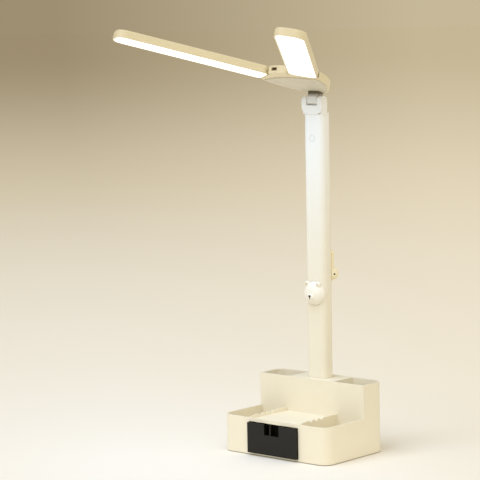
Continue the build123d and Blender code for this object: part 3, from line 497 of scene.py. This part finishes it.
def touch_mark():
    """A thin raised ring that shows where the touch control lies."""

    def build(shape):
        rings = []
        for turn in turns(TOUCH_ROUNDS):
            ring = []
            for roll in turns(TOUCH_SIDES):
                reach = (TOUCH_RADIUS + TOUCH_HALF_WIDTH * cos(roll)) * MM
                lift = TOUCH_HALF_DEPTH * MM * sin(roll)
                ring.append(shape.verts.new((reach * cos(turn), lift, reach * sin(turn))))
            rings.append(ring)
        for ring, following in zip(rings, rings[1:] + rings[:1]):
            join_rings(shape, ring, following)
        bmesh.ops.recalc_face_normals(shape, faces=shape.faces)
        front = COLUMN_Y - COLUMN_HALF_Y - TOUCH_AHEAD * MM
        bmesh.ops.translate(shape, verts=shape.verts, vec=(0.0, front, TOUCH_HEIGHT))

    add_detail("touch_mark", build, "base", "mark")


HUB_NORMAL = Vector((0.0, sin(HEAD_TILT), cos(HEAD_TILT)))
HUB_BACK = Vector((0.0, cos(HEAD_TILT), -sin(HEAD_TILT)))
HUB_ORIGIN = HEAD_PIVOT - HUB_BACK * HUB_FORWARD + HUB_NORMAL * HUB_RISE


def on_hub(x, y, z):
    """A point given in millimetres along the hub's own width, length and height."""
    return HUB_ORIGIN + Vector((x * MM, 0.0, 0.0)) + HUB_BACK * (y * MM) + HUB_NORMAL * (z * MM)


def rounded_block(name, corners, body, material):
    """A block with softened edges between eight corners: four low, then four high."""

    def build(shape):
        points = [shape.verts.new(corner) for corner in corners]
        for face in BLOCK_FACES:
            shape.faces.new([points[index] for index in face])
        bmesh.ops.recalc_face_normals(shape, faces=shape.faces)
        edges = list(shape.edges)
        bmesh.ops.bevel(
            shape, geom=edges, offset=BLOCK_EDGE * MM, segments=3, profile=0.5, affect="EDGES"
        )

    add_detail(name, build, body, material)


def block_corners(point, x, y, z):
    """Eight corners of a block in a frame, from its reach along each direction."""
    plan = ((x[0], y[0]), (x[1], y[0]), (x[1], y[1]), (x[0], y[1]))
    return [point(a, b, height) for height in z for a, b in plan]


def hinge_point(side):
    """A function that places a point beside a panel's hinge line, on one side of the hub."""

    def place(out, along, height):
        x = side * (HINGE_X + out * sin(PANEL_ANGLE) + along * cos(PANEL_ANGLE))
        return on_hub(x, HINGE_Y - out * cos(PANEL_ANGLE) + along * sin(PANEL_ANGLE), height)

    return place


def on_base(x, y, z):
    """A point given in millimetres in the lamp's own frame."""
    return Vector((x, y, z)) * MM


def screw_caps():
    """Thin domed caps that cover the screw holes in the hub's lower cover."""

    def build(shape):
        for x, y in HUB_SCREWS:
            rings = []
            for reach, sink in CAP_RINGS:
                ring = []
                for turn in turns(CAP_SIDES):
                    aside, back = x + reach * cos(turn), y + reach * sin(turn)
                    ring.append(shape.verts.new(on_hub(aside, back, -HUB_DROP - sink)))
                rings.append(ring)
            for low, high in zip(rings, rings[1:]):
                join_rings(shape, low, high)
            shape.faces.new(rings[0])
            shape.faces.new(rings[-1])
        bmesh.ops.recalc_face_normals(shape, faces=shape.faces)

    add_detail("hub_screw_caps", build, "head", "grey_cover")


touch_mark()
screw_caps()
# Dark blocks that paint the shade in the hub's window and beside each hinge.
rounded_block("hub_window_shade", block_corners(on_hub, *WINDOW_SHADE_REACH), "head", "painted_shade")
for side_name, side in SIDES:
    shade_corners = block_corners(hinge_point(side), *HINGE_SHADE_REACH)
    rounded_block(side_name + "_hinge_shade", shade_corners, "head", "painted_shade")
pull_rib = block_corners(on_base, *PULL_RIB_REACH)
rounded_block("drawer_pull_rib", pull_rib, "drawer", "smoke")

# ---------------------------------------------------------------- light from the panels

# The light of each panel: its size, where its middle lies and how far it hangs, in millimetres
GLOW_SIZE = (188.0, 33.0)
GLOW_MIDDLE = 104.0
GLOW_DROP = 0.6
GLOW_POWER = 0.27
GLOW_COLOUR = (0.305, 0.558, 1.0)


def panel_glow(side_name, side):
    """The cool light that a panel's diffuser throws down, carried by the panel."""
    place = hinge_point(side)
    middle = place(GLOW_MIDDLE, 0.0, -GLOW_DROP)
    along = (place(1.0, 0.0, 0.0) - place(0.0, 0.0, 0.0)).normalized()
    data = bpy.data.lights.new(side_name + "_glow", "AREA")
    data.shape = "RECTANGLE"
    data.size = GLOW_SIZE[0] * MM
    data.size_y = GLOW_SIZE[1] * MM
    data.energy = GLOW_POWER
    data.color = GLOW_COLOUR
    glow = link_object(side_name + "_glow", data)
    turn = Matrix((along, HUB_NORMAL.cross(along), HUB_NORMAL)).transposed().to_4x4()
    glow.matrix_world = Matrix.Translation(middle) @ turn
    glow.visible_camera = False
    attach(glow, side_name + "_panel")


for side_name, side in SIDES:
    panel_glow(side_name, side)

# ---------------------------------------------------------------- stage, light and camera

CAMERA_PLACE = Vector((1.72316, -2.07648, 0.57604))
CAMERA_YAW = radians(41.39)
CAMERA_PITCH = radians(-6.15)
CAMERA_ROLL = radians(-1.06)
CAMERA_LENS = 152.84
SENSOR_WIDTH = 36.0


def place_camera():
    """The camera that sees the lamp as the photograph does."""
    ahead = Vector((-sin(CAMERA_YAW), cos(CAMERA_YAW), 0.0))
    forward = ahead * cos(CAMERA_PITCH) + Vector((0.0, 0.0, sin(CAMERA_PITCH)))
    level = Vector((cos(CAMERA_YAW), sin(CAMERA_YAW), 0.0))
    up = level.cross(forward)
    right = level * cos(CAMERA_ROLL) + up * sin(CAMERA_ROLL)
    top = up * cos(CAMERA_ROLL) - level * sin(CAMERA_ROLL)
    data = bpy.data.cameras.new("camera")
    data.lens = CAMERA_LENS
    data.sensor_width = SENSOR_WIDTH
    data.clip_end = 500.0
    camera = link_object("camera", data)
    turn = Matrix((right, top, -forward)).transposed().to_4x4()
    camera.matrix_world = Matrix.Translation(CAMERA_PLACE) @ turn
    bpy.context.scene.camera = camera


def place_sun(name, direction, strength, softness, colour):
    """A distant lamp that shines from a direction, with its softness in degrees."""
    data = bpy.data.lights.new(name, "SUN")
    data.energy = strength
    data.angle = radians(softness)
    data.color = colour
    lamp = link_object(name, data)
    lamp.rotation_euler = Vector(direction).to_track_quat("Z", "Y").to_euler()


# The floor, in metres: its radius, the camera's distance and the fade of its colour
FLOOR_RADIUS = 120.0
VIEW_DISTANCE = 2.7
FLOOR_FADE = 6.5
# How far aside the colour turns from left to right, as a share of the distance seen
SIDE_REACH = 0.088
# The floor's colours far away, midway and near, to the left and to the right: darker and warmer
# far off and to the left, a painted falloff of the light
LEFT_FLOOR = ((158, 142, 114), (210, 198, 172), (249, 244, 233))
RIGHT_FLOOR = ((198, 184, 152), (226, 213, 186), (244, 236, 219))


def maths(tree, operation, source, out, other=0.0, other_out="Value"):
    """A maths node that works on one output, with a number or with another output."""
    node = tree.nodes.new("ShaderNodeMath")
    node.operation = operation
    tree.links.new(source.outputs[out], node.inputs[0])
    if isinstance(other, float):
        node.inputs[1].default_value = other
    else:
        tree.links.new(other.outputs[other_out], node.inputs[1])
    return node


def vector_maths(tree, operation, source, out):
    """A vector maths node that works on one output."""
    node = tree.nodes.new("ShaderNodeVectorMath")
    node.operation = operation
    tree.links.new(source.outputs[out], node.inputs[0])
    return node


def side_mix(tree, place, out, lead, left, right):
    """A blend from a left to a right colour by how far aside a place lies for its distance."""
    aside = vector_maths(tree, "DOT_PRODUCT", place, out)
    aside.inputs[1].default_value = (cos(CAMERA_YAW), sin(CAMERA_YAW), 0.0)
    length = vector_maths(tree, "LENGTH", place, out)
    distance = maths(tree, "ADD", length, "Value", lead)
    share = maths(tree, "DIVIDE", aside, "Value", distance)
    spread = tree.nodes.new("ShaderNodeMapRange")
    spread.inputs["From Min"].default_value = -SIDE_REACH
    spread.inputs["From Max"].default_value = SIDE_REACH
    tree.links.new(share.outputs["Value"], spread.inputs["Value"])
    blend = tree.nodes.new("ShaderNodeMixRGB")
    tree.links.new(spread.outputs["Result"], blend.inputs["Fac"])
    for socket, colour in (("Color1", left), ("Color2", right)):
        if isinstance(colour, tuple):
            blend.inputs[socket].default_value = colour
        else:
            tree.links.new(colour.outputs["Color"], blend.inputs[socket])
    return blend


def floor_material():
    """A pale matt floor that turns warmer and darker with distance, most of all to the left:
    painted falloff of the light.
    """
    shader = Shader("floor_paper", Roughness=0.9, Specular_IOR_Level=0.0)
    length = vector_maths(shader.tree, "LENGTH", shader.place, "Object")
    faded = maths(shader.tree, "DIVIDE", length, "Value", -FLOOR_FADE)
    nearness = maths(shader.tree, "EXPONENT", faded, "Value")
    sides = []
    for far, middle, near in (LEFT_FLOOR, RIGHT_FLOOR):
        stops = [(0.0, linear(*far)), (0.5, linear(*middle)), (1.0, linear(*near))]
        sides.append(shader.ramp(nearness, "Value", stops))
    tint = side_mix(shader.tree, shader.place, "Object", VIEW_DISTANCE, *sides)
    shader.join(tint, "Color", shader.surface, "Base Color")
    return shader.material


def place_floor():
    """A wide round floor."""

    def build(shape):
        bmesh.ops.create_circle(shape, cap_ends=True, segments=96, radius=FLOOR_RADIUS)
        bmesh.ops.translate(shape, verts=shape.verts, vec=(0, 0, FLOOR_Z))

    floor = object_from_bmesh("floor", build)
    dress(floor, floor_material())


def light_world(ambient, strength):
    """Even light from all round, with a warm backdrop above the horizon that is darker to the
    left: painted falloff of the light.
    """
    world = bpy.data.worlds.new("studio")
    bpy.context.scene.world = world
    world.use_nodes = True
    tree = world.node_tree
    tree.nodes.clear()
    path = tree.nodes.new("ShaderNodeLightPath")
    seen = maths(tree, "MAXIMUM", path, "Is Camera Ray", path, "Is Glossy Ray")
    shown = maths(tree, "MAXIMUM", seen, "Value", path, "Is Transmission Ray")
    soft = tree.nodes.new("ShaderNodeBackground")
    soft.inputs["Color"].default_value = ambient
    soft.inputs["Strength"].default_value = strength
    backdrop = tree.nodes.new("ShaderNodeBackground")
    place = tree.nodes.new("ShaderNodeTexCoord")
    far_left, far_right = linear(*LEFT_FLOOR[0]), linear(*RIGHT_FLOOR[0])
    tint = side_mix(tree, place, "Generated", 0.0, far_left, far_right)
    tree.links.new(tint.outputs["Color"], backdrop.inputs["Color"])
    mix = tree.nodes.new("ShaderNodeMixShader")
    output = tree.nodes.new("ShaderNodeOutputWorld")
    tree.links.new(shown.outputs["Value"], mix.inputs["Fac"])
    tree.links.new(soft.outputs["Background"], mix.inputs[1])
    tree.links.new(backdrop.outputs["Background"], mix.inputs[2])
    tree.links.new(mix.outputs["Shader"], output.inputs["Surface"])


AMBIENT_COLOUR = (1.0, 0.978, 0.92, 1.0)
AMBIENT_STRENGTH = 0.62
KEY_COLOUR = (0.835, 0.884, 1.0)
FILL_COLOUR = (1.0, 0.93, 0.78)

place_camera()
place_floor()
light_world(AMBIENT_COLOUR, AMBIENT_STRENGTH)
place_sun("key_lamp", (-0.25, -0.85, 1.1), strength=1.32, softness=50.0, colour=KEY_COLOUR)
place_sun("fill_lamp", (0.9, -0.2, 0.7), strength=0.55, softness=70.0, colour=FILL_COLOUR)
bpy.context.scene.view_settings.view_transform = "Standard"
